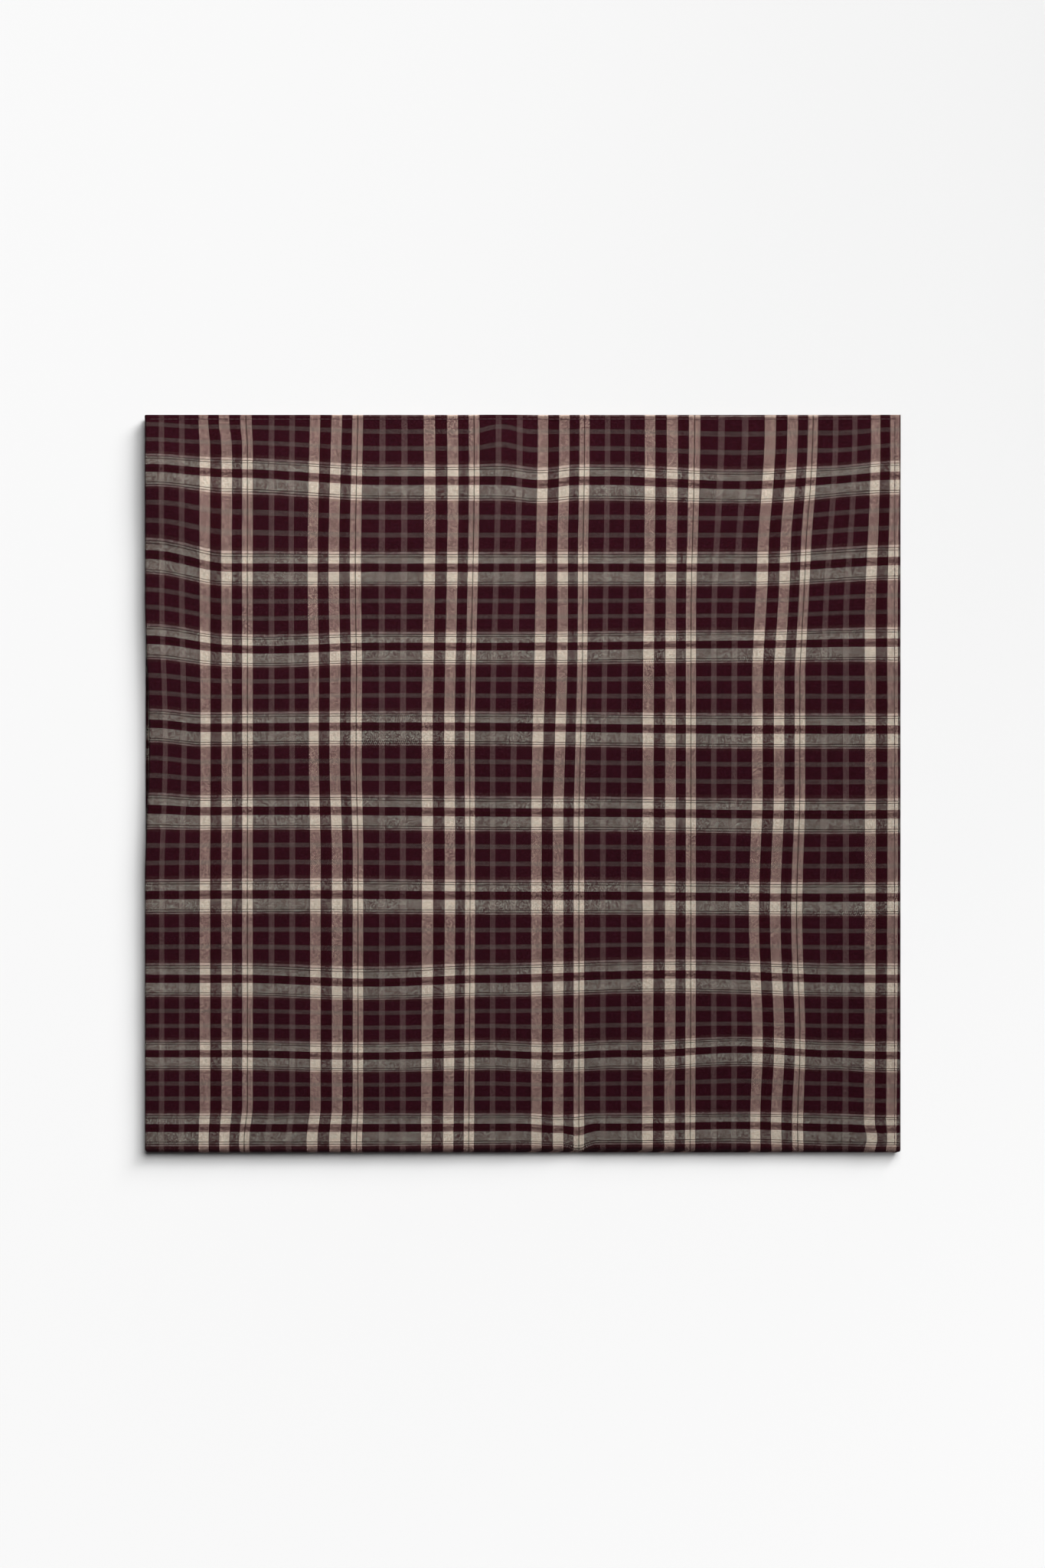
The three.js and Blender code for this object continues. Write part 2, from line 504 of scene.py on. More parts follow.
    def stations(self, run: float, radius: float, hem: TurnedHem) -> np.ndarray:
        """Divides one of the cloth's two directions, finely at the hems, round the fold and in the first run.

        Args:
            run: the length of each straight run.
            radius: the bend's radius along the line.
            hem: the hem at either end of the line.

        Returns:
            Distances from the first hem to the last.
        """
        edge = hem.stitch_inset * np.array(hem.stations)
        start = hem.field_start * hem.stitch_inset
        fine = np.linspace(start, run, round((run - start) / self.fine_step) + 1)
        bend = run + math.pi * radius * np.linspace(0.0, 1.0, self.bend_steps + 1)[1:-1]
        plain = np.linspace(run, start, round((run - start) / self.plain_step) + 1)
        total = 2 * run + math.pi * radius
        return np.concatenate([edge, fine, bend, total - plain, total - edge[::-1]])

    def woven_place(self, across: np.ndarray, along: np.ndarray) -> tuple[np.ndarray, np.ndarray]:
        """Finds which part of the woven check lies at places of the cloth, as the grain pulls move it.

        Args:
            across: distance across the cloth.
            along: distance along the cloth.

        Returns:
            Distances across and along the check.
        """
        x, y, _ = self.neat(across, along, np.full_like(across, self.first_radius))
        fade = 1.0 - smooth_rise(across, self.run_across, self.run_across + self.grain_fade)
        fade = fade * (1.0 - smooth_rise(along, self.run_along, self.run_along + self.grain_fade))
        right = sum(pull.across * pull.share(x, y) for pull in PULLS)
        down = sum(pull.down * pull.share(x, y) for pull in PULLS)
        bend = math.pi * self.second_radius
        bend_end = self.run_along + bend
        ledge = smooth_rise(along, *(self.run_along + part * bend for part in self.ledge_on_bend))
        ledge = ledge * (1.0 - smooth_rise(along, bend_end, bend_end + self.grain_fade))
        twist = self.ledge_twist * ledge * self.near_back(x) / self.near_fold_back
        return across + fade * right + twist, along - fade * down

    def build(self) -> bpy.types.Object:
        """Makes the sheet as one closed mesh, with its woven place in metres as its UV map.

        Returns:
            The cloth's object.
        """
        across_line = self.stations(self.run_across, self.first_radius, self.right_hem)
        along_line = self.stations(self.run_along, self.second_radius, self.far_hem)
        along, across = np.meshgrid(along_line, across_line, indexing="ij")
        points = np.stack([self.lay(across, along, face) for face in self.faces(across, along)])
        woven = np.stack(self.woven_place(across, along), axis=-1).reshape(-1, 2)

        cloth = object_of_mesh("bandana_cloth", points, self.quads(*along.shape))
        mesh = cloth.data
        uv = mesh.uv_layers.new(name="woven_place")
        corner = np.zeros(len(mesh.loops), np.int32)
        mesh.loops.foreach_get("vertex_index", corner)
        uv.data.foreach_set("uv", (np.tile(woven, (2, 1))[corner] * MM).astype(np.float32).ravel())
        return cloth

    @staticmethod
    def quads(rows: int, columns: int) -> np.ndarray:
        """Joins two grids of points, the outer face's and then the inner face's, into one closed skin.

        Args:
            rows: stations along the cloth.
            columns: stations across it.

        Returns:
            Four point numbers to a row, turned outwards.
        """
        place = np.arange(rows * columns).reshape(rows, columns)
        lower = place + rows * columns
        corners = (place[:-1, :-1], place[:-1, 1:], place[1:, 1:], place[1:, :-1])
        skin = np.stack(corners, axis=-1).reshape(-1, 4)
        back = skin[:, ::-1] + rows * columns
        first = np.stack([lower[0, :-1], lower[0, 1:], place[0, 1:], place[0, :-1]], axis=-1)
        last = np.stack([place[-1, :-1], place[-1, 1:], lower[-1, 1:], lower[-1, :-1]], axis=-1)
        start = np.stack([place[:-1, 0], place[1:, 0], lower[1:, 0], lower[:-1, 0]], axis=-1)
        end = np.stack([lower[:-1, -1], lower[1:, -1], place[1:, -1], place[:-1, -1]], axis=-1)
        return np.concatenate([skin, back, first, last, start, end])


class HemSide(Enum):
    """The two hems that a row of stitches can follow."""

    RIGHT = "right"
    FAR = "far"


@dataclass
class HemStitches:
    """The lockstitch rows that hold the hems of the top and the bottom layer, in millimetres.

    Stitches stand a little out of the top layer, and are sunk in the bottom one. A row starts from the corner
    at start times its inset, and stops at end_gap from the fold. Dip is a share of the thread, and half_chord
    is the share of a stitch's length, to either side of its middle, that gives its direction.
    """

    cloth: FoldedCloth
    pitch: float = 2.6
    stitch_length: float = 2.1
    thread: float = 0.3
    dip: float = 0.25
    half_chord: float = 0.4
    standing: float = 0.06
    sunk: float = 0.08
    start: float = 1.5
    end_gap: float = 1.0

    def model_stitch(self) -> tuple[np.ndarray, np.ndarray]:
        """Models one stitch as a long bead that dips at its ends.

        Returns:
            Its points, lengthways along X, and its faces' point numbers as quads.
        """
        bpy.ops.object.select_all(action="DESELECT")
        bpy.ops.mesh.primitive_cube_add(size=1.0, location=(0.0, 0.0, 0.0))
        stitch = bpy.context.object
        bpy.ops.object.mode_set(mode="EDIT")
        bpy.ops.mesh.subdivide(number_cuts=2)
        bpy.ops.transform.tosphere(value=1.0)
        bpy.ops.transform.resize(value=(self.stitch_length, self.thread, self.thread))
        bpy.ops.object.mode_set(mode="OBJECT")
        points = np.array([v.co for v in stitch.data.vertices])
        faces = np.array([list(p.vertices) for p in stitch.data.polygons])
        points[:, 2] -= self.dip * self.thread * np.abs(2.0 * points[:, 0] / self.stitch_length) ** 3
        bpy.data.meshes.remove(stitch.data)
        return points, faces

    def row(self, side: HemSide, bottom: bool) -> np.ndarray:
        """Finds the places of one row of stitches.

        Args:
            side: the hem that the row follows.
            bottom: whether it is on the bottom layer, and not the top one.

        Returns:
            A frame for each stitch: its middle and its X, Y and Z directions.
        """
        cloth = self.cloth
        run = cloth.run_along if side is HemSide.RIGHT else cloth.run_across
        hem = cloth.right_hem if side is HemSide.RIGHT else cloth.far_hem
        middles = np.arange(self.start * hem.stitch_inset, run - self.end_gap, self.pitch)
        fixed = np.full_like(middles, hem.stitch_inset)

        def surface(travel: np.ndarray, offset: float) -> np.ndarray:
            """Finds points of the outer face beside the row.

            Args:
                travel: distances along the row.
                offset: distance from the row.

            Returns:
                The points, one to a row.
            """
            across, along = (fixed + offset, travel) if side is HemSide.RIGHT else (travel, fixed + offset)
            if bottom:
                along = cloth.flat_along - along
            outer, _ = cloth.faces(across, along)
            return cloth.lay(across, along, outer + (-self.sunk if bottom else self.standing))

        step = self.half_chord * self.stitch_length
        length = surface(middles + step, 0.0) - surface(middles - step, 0.0)
        sideways = surface(middles, self.thread) - surface(middles, -self.thread)
        length /= np.linalg.norm(length, axis=1, keepdims=True)
        up = np.cross(length, sideways)
        up *= np.where(up[:, 2:] > 0, 1.0, -1.0) * (-1.0 if bottom else 1.0)
        up /= np.linalg.norm(up, axis=1, keepdims=True)
        return np.stack([surface(middles, 0.0), length, np.cross(up, length), up], axis=1)

    def build(self) -> bpy.types.Object:
        """Joins all the stitches into one piece.

        Returns:
            The stitches' object.
        """
        points, faces = self.model_stitch()
        frames = np.concatenate([self.row(side, bottom) for side in HemSide for bottom in (False, True)])
        placed = frames[:, :1] + np.einsum("pk,fkc->fpc", points, frames[:, 1:])
        numbers = faces[None] + len(points) * np.arange(len(frames))[:, None, None]
        return object_of_mesh("hem_stitches", placed, numbers.reshape(-1, 4))


class Yarn(Enum):
    """The dyed yarns, as screen colours."""

    WARP_BURGUNDY = (38, 3, 9)
    WARP_CREAM = (200, 172, 155)
    WARP_TAUPE = (87, 68, 65)
    WARP_LINE = (52, 38, 28)
    WEFT_BURGUNDY = (51, 22, 33)
    WEFT_WINE = (41, 16, 21)
    WEFT_CREAM = (182, 187, 173)
    WEFT_ROSE = (165, 156, 150)
    WEFT_HAZE = (64, 43, 46)
    WEFT_LINE = (36, 31, 31)
    WEFT_GREY = (77, 68, 66)


@dataclass(frozen=True)
class Stripe:
    """A stretch of one yarn in the check: how many threads, and how much of the surface they take."""

    yarn: Yarn
    threads: int
    cover: float = 0.5


WARP_REPEAT = (
    Stripe(Yarn.WARP_LINE, 1, 0.55),
    Stripe(Yarn.WARP_CREAM, 5, 0.35),
    Stripe(Yarn.WARP_BURGUNDY, 4, 0.555),
    Stripe(Yarn.WARP_BURGUNDY, 3, 0.67),
    Stripe(Yarn.WARP_BURGUNDY, 4, 0.555),
    Stripe(Yarn.WARP_CREAM, 11, 0.35),
    Stripe(Yarn.WARP_BURGUNDY, 3, 0.6),
    Stripe(Yarn.WARP_BURGUNDY, 9, 0.67),
    Stripe(Yarn.WARP_CREAM, 11, 0.35),
    Stripe(Yarn.WARP_BURGUNDY, 16),
    Stripe(Yarn.WARP_TAUPE, 6, 0.59),
    Stripe(Yarn.WARP_BURGUNDY, 16),
    Stripe(Yarn.WARP_TAUPE, 6, 0.59),
    Stripe(Yarn.WARP_BURGUNDY, 17),
    Stripe(Yarn.WARP_CREAM, 5, 0.35),
)

WEFT_REPEAT = (
    Stripe(Yarn.WEFT_BURGUNDY, 4),
    Stripe(Yarn.WEFT_WINE, 4, 0.71),
    Stripe(Yarn.WEFT_BURGUNDY, 3),
    Stripe(Yarn.WEFT_CREAM, 13, 0.27),
    Stripe(Yarn.WEFT_LINE, 1, 0.68),
    Stripe(Yarn.WEFT_CREAM, 2, 0.27),
    Stripe(Yarn.WEFT_LINE, 1, 0.68),
    Stripe(Yarn.WEFT_ROSE, 2, 0.27),
    Stripe(Yarn.WEFT_HAZE, 3, 0.455),
    Stripe(Yarn.WEFT_BURGUNDY, 14),
    Stripe(Yarn.WEFT_GREY, 6, 0.61),
    Stripe(Yarn.WEFT_BURGUNDY, 16),
    Stripe(Yarn.WEFT_GREY, 6, 0.61),
    Stripe(Yarn.WEFT_BURGUNDY, 14),
    Stripe(Yarn.WEFT_HAZE, 4, 0.455),
    Stripe(Yarn.WEFT_ROSE, 3, 0.27),
    Stripe(Yarn.WEFT_LINE, 1, 0.68),
    Stripe(Yarn.WEFT_CREAM, 2, 0.27),
    Stripe(Yarn.WEFT_LINE, 1, 0.68),
    Stripe(Yarn.WEFT_CREAM, 8, 0.27),
)


class NodeRecipe:
    """Adds and links the nodes of one tree, so that a finish reads as a recipe."""

    def __init__(self, tree: bpy.types.NodeTree) -> None:
        """Starts a recipe in a node tree."""
        self.tree = tree

    @classmethod
    def of_material(cls, name: str) -> tuple[bpy.types.Material, "NodeRecipe"]:
        """Starts the recipe of a new material.

        Args:
            name: the material's name.

        Returns:
            The material, with no nodes yet, and its recipe.
        """
        made = bpy.data.materials.new(name)
        made.use_nodes = True
        made.node_tree.nodes.clear()
        return made, cls(made.node_tree)

    def add(self, kind: str, settings: dict | None = None, *first: object, **named: object) -> Node:
        """Adds a node.

        Args:
            kind: the node's type.
            settings: its properties.
            first: values or sockets for its first inputs, in their order.
            named: values or sockets for its other inputs, by name, with _ for a space.

        Returns:
            The node.
        """
        node = self.tree.nodes.new(kind)
        for name, value in (settings or {}).items():
            setattr(node, name, value)
        for socket, value in zip(node.inputs, first):
            self.feed(socket, value)
        for name, value in named.items():
            self.feed(node.inputs[name.replace("_", " ")], value)
        return node

    def feed(self, socket: Socket, value: object) -> None:
        """Links a socket to an input, or sets the input's value.

        Args:
            socket: the input.
            value: the socket or the value.
        """
        if isinstance(value, Socket):
            self.tree.links.new(value, socket)
        else:
            socket.default_value = value

    def math(self, operation: str, *values: object) -> Socket:
        """Works on numbers or their sockets and gives the result."""
        return self.add("ShaderNodeMath", {"operation": operation}, *values).outputs[0]

    def vector(self, operation: str, *values: object) -> Sockets:
        """Works on vectors or their sockets and gives the results, as Vector or as Value."""
        return self.add("ShaderNodeVectorMath", {"operation": operation}, *values).outputs

    def mix(self, share: object, first: object, second: object, blend: str = "MIX") -> Socket:
        """Mixes two colours.

        Args:
            share: how much the second one counts.
            first: the first colour.
            second: the second colour.
            blend: how they are mixed.

        Returns:
            The mixed colour.
        """
        node = self.add("ShaderNodeMix", {"data_type": "RGBA", "blend_type": blend})
        self.feed(node.inputs[0], share)
        self.feed(node.inputs[6], first)
        self.feed(node.inputs[7], second)
        return node.outputs[2]

    def clamped(self, value: object) -> Socket:
        """Keeps a number between 0 and 1 and gives the result."""
        return self.math("MINIMUM", self.math("MAXIMUM", value, 0.0), 1.0)

    def spread(self, value: object, low: float, high: float) -> Socket:
        """Maps 0 to 1 onto low to high and gives the result."""
        return self.math("MULTIPLY_ADD", value, high - low, low)

    def grey(self, value: object) -> Socket:
        """Makes a grey.

        Args:
            value: its brightness, as a number or socket.

        Returns:
            The grey.
        """
        node = self.add("ShaderNodeCombineColor")
        for socket in node.inputs:
            self.feed(socket, value)
        return node.outputs[0]

    def shaded(self, colour: object, shade: object, span: tuple[float, float]) -> Socket:
        """Multiplies a colour by a shade that runs over a span, and gives the result."""
        return self.mix(1.0, colour, self.grey(self.spread(shade, *span)), "MULTIPLY")

    def stripes(self, number: object, repeat: tuple[Stripe, ...]) -> tuple[Socket, Socket]:
        """Colours each thread by a repeat of stripes.

        Args:
            number: the thread's whole number.
            repeat: the stripes of one repeat, in order.

        Returns:
            The colour of the yarn there, and its cover.
        """
        whole = sum(stripe.threads for stripe in repeat)
        place = self.math("FRACT", self.math("DIVIDE", self.math("ADD", number, 0.5), whole))
        ramp = self.add("ShaderNodeValToRGB", Fac=place)
        ramp.color_ramp.interpolation = "CONSTANT"
        elements = ramp.color_ramp.elements
        start = 0
        for order, stripe in enumerate(repeat):
            element = elements[order] if order < len(elements) else elements.new(start / whole)
            element.position = start / whole
            element.color = (*screen(stripe.yarn.value)[:3], stripe.cover)
            start += stripe.threads
        return ramp.outputs[0], ramp.outputs[1]


class ShaderGroup:
    """A shader node group, built once and placed in each material that uses it.

    Its inputs are numbers, with their defaults, and vectors, which have None. Its outputs are numbers.
    """

    name: str = ""
    inputs: dict[str, float | None] = {}

    def tree(self) -> bpy.types.NodeTree:
        """Finds the group's tree, and builds it the first time.

        Returns:
            The tree.
        """
        if self.name in bpy.data.node_groups:
            return bpy.data.node_groups[self.name]
        tree = bpy.data.node_groups.new(self.name, "ShaderNodeTree")
        for name, default in self.inputs.items():
            kind = "NodeSocketVector" if default is None else "NodeSocketFloat"
            made = tree.interface.new_socket(name, in_out="INPUT", socket_type=kind)
            if default is not None:
                made.default_value = default
        recipe = NodeRecipe(tree)
        results = self.work(recipe, recipe.add("NodeGroupInput").outputs)
        for name in results:
            tree.interface.new_socket(name, in_out="OUTPUT", socket_type="NodeSocketFloat")
        out = recipe.add("NodeGroupOutput")
        for name, socket in results.items():
            recipe.feed(out.inputs[name], socket)
        return tree

    def work(self, recipe: NodeRecipe, given: Sockets) -> dict[str, Socket]:
        """Adds the group's nodes. Each kind of group has its own.

        Args:
            recipe: the group's recipe.
            given: the group's inputs.

        Returns:
            The sockets for the group's outputs, by name.
        """
        raise NotImplementedError

    def place(self, recipe: NodeRecipe, **inputs: object) -> Sockets:
        """Puts the group in a material and gives its outputs."""
        return recipe.add("ShaderNodeGroup", {"node_tree": self.tree()}, **inputs).outputs


class PlainWeave(ShaderGroup):
    """A plain weave: each place's threads, which of them lies on top, and how high it stands."""

    name = "plain_weave"
    inputs = {"Across": 0.0, "Along": 0.0, "Warp Pitch": 0.437, "Weft Pitch": 0.356}

    def work(self, recipe: NodeRecipe, given: Sockets) -> dict[str, Socket]:
        """Adds the nodes of the weave.

        Args:
            recipe: the group's recipe.
            given: the group's inputs.

        Returns:
            The sockets for the group's outputs, by name.
        """
        threads_across = recipe.math("DIVIDE", given["Across"], given["Warp Pitch"])
        threads_along = recipe.math("DIVIDE", given["Along"], given["Weft Pitch"])
        warp_number = recipe.math("FLOOR", threads_across)
        weft_number = recipe.math("FLOOR", threads_along)
        both = recipe.math("MULTIPLY", recipe.math("ADD", warp_number, weft_number), 0.5)
        on_top = recipe.math("LESS_THAN", recipe.math("FRACT", both), 0.25)
        warp_past_weft = recipe.math("SUBTRACT", warp_number, weft_number)
        top_number = recipe.math("MULTIPLY_ADD", warp_past_weft, on_top, weft_number)
        thread = recipe.add("ShaderNodeTexWhiteNoise", {"noise_dimensions": "1D"}, W=top_number)

        def crown(threads: Socket) -> Socket:
            """Gives a round crown across each thread."""
            off = recipe.math("MULTIPLY_ADD", recipe.math("FRACT", threads), 2.0, -1.0)
            return recipe.math("SUBTRACT", 1.0, recipe.math("MULTIPLY", off, off))

        place = recipe.add("ShaderNodeCombineXYZ", X=warp_number, Y=weft_number).outputs[0]
        crossing = recipe.add("ShaderNodeTexWhiteNoise", {"noise_dimensions": "2D"}, Vector=place)
        chances = recipe.add("ShaderNodeSeparateColor", Color=crossing.outputs["Color"])
        crowns = recipe.math("ADD", crown(threads_across), crown(threads_along))
        return {
            "Warp Number": warp_number,
            "Weft Number": weft_number,
            "Warp On Top": on_top,
            "Height": recipe.math("MULTIPLY", crowns, 0.5),
            "Thread Shade": thread.outputs["Value"],
            "Crossing Blend": chances.outputs[1],
            "Crossing Shade": chances.outputs[2],
        }


class BrushedNap(ShaderGroup):
    """The nap of brushed yarn: broad patches, uneven blending of the yarns, pale lint and fluff."""

    name = "brushed_nap"
    inputs = {"Place": None, "Patch Size": 14.0}
    roughness = 0.65

    def work(self, recipe: NodeRecipe, given: Sockets) -> dict[str, Socket]:
        """Adds the nodes of the nap.

        Args:
            recipe: the group's recipe.
            given: the group's inputs.

        Returns:
            The sockets for the group's outputs, by name.
        """

        def noise(scale: object, shift: float, detail: float = 2.0) -> Socket:
            """Adds a noise of its own for each shift.

            Args:
                scale: how many of its patches there are to a millimetre.
                shift: how far it is moved, so that no two noises are alike.
                detail: how finely it is broken up.

            Returns:
                The noise.
            """
            moved = recipe.vector("ADD", given["Place"], (shift, 2.0 * shift, 0.0))["Vector"]
            look = {"Vector": moved, "Scale": scale, "Detail": detail, "Roughness": self.roughness}
            return recipe.add("ShaderNodeTexNoise", {"noise_dimensions": "2D"}, **look).outputs[0]

        broad = recipe.math("DIVIDE", 1.0, given["Patch Size"])
        return {
            "Patches": noise(broad, shift=0.0, detail=3.0),
            "Blend": noise(1.7, shift=311.0),
            "Lint": noise(1.3, shift=733.0),
            "Fluff": noise(0.8, shift=977.0),
        }


@dataclass(frozen=True)
class PlaidCotton:
    """The finish of the brushed plaid cotton.

    Sizes are in millimetres, on the cloth's woven place. Yarns are blended as screen colours, because light
    that scatters from thread to thread in the nap darkens a blend of a pale and a dark yarn. The nap shades
    the yarns under it, so they give back less light than their colours say. Each pair of shades is what the
    colour is multiplied by at the darkest and at the palest place.
    """

    name: str = "plaid_cotton"
    warp_pitch: float = 0.43705
    weft_pitch: float = 0.35611
    first_line: float = 302.08
    first_bar: float = 28.39
    contrast: float = 0.8
    uneven_blend: float = 0.15
    uneven_crossing: float = 0.22
    lint: tuple[int, int, int] = (150, 128, 122)
    lint_share: tuple[float, float] = (-0.12, 0.16)
    patch_shades: tuple[float, float] = (0.92, 1.08)
    thread_shades: tuple[float, float] = (0.96, 1.04)
    crossing_shades: tuple[float, float] = (0.88, 1.12)
    # painted shade in the gaps between threads and painted highlight on their crowns
    painted_crown_shading: tuple[float, float] = (0.86, 1.07)
    nap_shade: float = 0.8
    relief: float = 0.05
    relief_strength: float = 0.5
    fluff: float = 1.4
    roughness: float = 0.95
    gloss: float = 0.04
    sheen: float = 0.02
    sheen_roughness: float = 0.6
    sheen_tint: tuple[float, float, float, float] = (1.0, 0.93, 0.9, 1.0)

    def warp_share(self, recipe: NodeRecipe, weave: Sockets, cover: Socket, blend: Socket) -> Socket:
        """Works out how much of the colour the warp gives.

        Args:
            recipe: the material's recipe.
            weave: the weave's outputs.
            cover: how much more of the surface the warp takes than the weft.
            blend: the nap's uneven blending.

        Returns:
            The warp's share, from 0 to 1.
        """
        share = recipe.spread(weave["Warp On Top"], 0.5 - self.contrast / 2, 0.5 + self.contrast / 2)
        share = recipe.math("ADD", share, cover)
        share = recipe.math("ADD", share, recipe.spread(blend, -self.uneven_blend, self.uneven_blend))
        uneven = recipe.spread(weave["Crossing Blend"], -self.uneven_crossing, self.uneven_crossing)
        return recipe.clamped(recipe.math("ADD", share, uneven))

    def material(self) -> bpy.types.Material:
        """Makes the material.

        Returns:
            The material.
        """
        made, recipe = NodeRecipe.of_material(self.name)
        woven = recipe.add("ShaderNodeUVMap", {"uv_map": "woven_place"}).outputs[0]
        in_mm = {"Vector": woven, "Scale": (1.0 / MM, 1.0 / MM, 1.0)}
        place = recipe.add("ShaderNodeMapping", {"vector_type": "POINT"}, **in_mm).outputs[0]
        parts = recipe.add("ShaderNodeSeparateXYZ", Vector=place).outputs
        across = recipe.math("SUBTRACT", parts[0], self.first_line)
        along = recipe.math("SUBTRACT", parts[1], self.first_bar)
        pitches = {"Warp_Pitch": self.warp_pitch, "Weft_Pitch": self.weft_pitch}
        weave = PlainWeave().place(recipe, Across=across, Along=along, **pitches)
        nap = BrushedNap().place(recipe, Place=place)

        warp, warp_cover = recipe.stripes(weave["Warp Number"], WARP_REPEAT)
        weft, weft_cover = recipe.stripes(weave["Weft Number"], WEFT_REPEAT)
        cover = recipe.math("SUBTRACT", warp_cover, weft_cover)
        colour = recipe.mix(self.warp_share(recipe, weave, cover, nap["Blend"]), weft, warp)
        linty = recipe.clamped(recipe.spread(nap["Lint"], *self.lint_share))
        colour = recipe.mix(linty, colour, screen(self.lint))
        colour = recipe.shaded(colour, nap["Patches"], self.patch_shades)
        colour = recipe.shaded(colour, weave["Thread Shade"], self.thread_shades)
        colour = recipe.shaded(colour, weave["Crossing Shade"], self.crossing_shades)
        # painted shade: the colour is darker in the gaps between threads and paler on the thread crowns
        colour = recipe.shaded(colour, weave["Height"], self.painted_crown_shading)
        colour = recipe.add("ShaderNodeGamma", Color=colour, Gamma=SCREEN_GAMMA).outputs[0]
        colour = recipe.mix(1.0, colour, (self.nap_shade, self.nap_shade, self.nap_shade, 1.0), "MULTIPLY")

        height = recipe.math("MULTIPLY_ADD", nap["Fluff"], self.fluff, weave["Height"])
        raised = {"Strength": self.relief_strength, "Distance": self.relief * MM, "Height": height}
        surface = recipe.add(
            "ShaderNodeBsdfPrincipled",
            Base_Color=colour,
            Roughness=self.roughness,
            Specular_IOR_Level=self.gloss,
            Sheen_Weight=self.sheen,
            Sheen_Roughness=self.sheen_roughness,
            Sheen_Tint=self.sheen_tint,
            Normal=recipe.add("ShaderNodeBump", **raised).outputs[0],
        )
        recipe.add("ShaderNodeOutputMaterial", Surface=surface.outputs[0])
        return made


@dataclass(frozen=True)
class SewingThread:
    """The finish of the dark red sewing thread, with the twist of its plies, in millimetres."""

    name: str = "sewing_thread"
    colour: tuple[int, int, int] = (66, 26, 30)
    # painted shade in the grooves between the plies
    dark: tuple[int, int, int] = (40, 14, 18)
    ply: float = 0.35
    waves_to_scale: float = 0.3
    relief: float = 0.05
    relief_strength: float = 0.6
    roughness: float = 0.7

    def material(self) -> bpy.types.Material:
        """Makes the material.

        Returns:
            The material.
        """
        made, recipe = NodeRecipe.of_material(self.name)
        place = {"Vector": recipe.add("ShaderNodeTexCoord").outputs["Object"]}
        scale = self.waves_to_scale / (self.ply * MM)
        twist = recipe.add("ShaderNodeTexWave", {"bands_direction": "DIAGONAL"}, **place, Scale=scale)
        twist = twist.outputs["Fac"]
        # painted shade: where the twist wave sinks the bump into a groove, the colour is darker
        colour = recipe.mix(twist, screen(self.dark), screen(self.colour))
        colour = recipe.add("ShaderNodeGamma", Color=colour, Gamma=SCREEN_GAMMA).outputs[0]
        raised = {"Strength": self.relief_strength, "Distance": self.relief * MM, "Height": twist}
        bump = recipe.add("ShaderNodeBump", **raised).outputs[0]
        look = {"Base_Color": colour, "Roughness": self.roughness, "Normal": bump}
        surface = recipe.add("ShaderNodeBsdfPrincipled", **look)
        recipe.add("ShaderNodeOutputMaterial", Surface=surface.outputs[0])
        return made


@dataclass(frozen=True)
class SoftLamp:
    """A round soft lamp that faces the middle of the pile, in metres, degrees and watts."""

    name: str
    watts: float
    distance: float
    bearing: float
    elevation: float
    size: float
    ring: int = 6
    light_type = "AREA"

    def centre(self) -> Vector:
        """Finds the lamp's middle.

        Returns:
            The middle.
        """
        bearing, elevation = math.radians(self.bearing), math.radians(self.elevation)
        flat = math.cos(elevation)
        side = (flat * math.cos(bearing), flat * math.sin(bearing), math.sin(elevation))
        return self.distance * Vector(side)

    def axis(self) -> Vector:
        """Gives the direction in which the lamp shines."""
        return -self.centre().normalized()

    def turn(self) -> Quaternion:
        """Gives the turn that points the lamp along its axis."""
        return self.axis().to_track_quat("-Z", "Y")

    def places(self) -> list[Vector]:
        """Finds places that stand for the whole of the lamp's face, on the ring with half of it inside.

        Returns:
            The places.
        """
        reach = self.size / 2 / math.sqrt(2.0)
        turns = (math.tau * step / self.ring for step in range(self.ring))
        spots = (Vector((reach * math.cos(t), reach * math.sin(t), 0.0)) for t in turns)
        return [self.centre() + self.turn() @ spot for spot in spots]

    def add(self) -> bpy.types.Object:
        """Adds the lamp.

        Returns:
            The lamp.
        """
        bpy.ops.object.light_add(type=self.light_type, location=self.centre())
        lamp = bpy.context.object
        lamp.name = self.name
        lamp.rotation_euler = self.turn().to_euler()
        lamp.data.energy = self.watts
        self.shape(lamp.data)
        return lamp

    def shape(self, light: bpy.types.Light) -> None:
        """Gives the lamp its round face."""
        light.shape = "DISK"
        light.size = self.size

    def brightness(self, recipe: NodeRecipe, turned: Socket) -> Socket:
        """Gives how brightly the lamp shines along a ray, from the cosine of the ray's angle to its axis."""
        return recipe.math("DIVIDE", turned, math.pi**2)

    def on_floor(self, recipe: NodeRecipe, place: Socket) -> Socket:
        """Works out how much of the lamp's light each place of the floor gets.

        Args:
            recipe: the floor material's recipe.
            place: the place on the floor, in metres from the middle of the pile.

        Returns:
            The light there.
        """
        total = 0.0
        for source in self.places():
            ray = recipe.vector("SUBTRACT", place, tuple(source))["Vector"]
            reach = recipe.vector("LENGTH", ray)["Value"]
            facing = recipe.vector("DOT_PRODUCT", ray, tuple(self.axis()))["Value"]
            shone = self.brightness(recipe, recipe.math("DIVIDE", facing, reach))
            fall = recipe.math("DIVIDE", source.z * self.watts / self.ring, recipe.math("POWER", reach, 3.0))
            total = recipe.math("ADD", total, recipe.math("MULTIPLY", fall, shone))
        return total


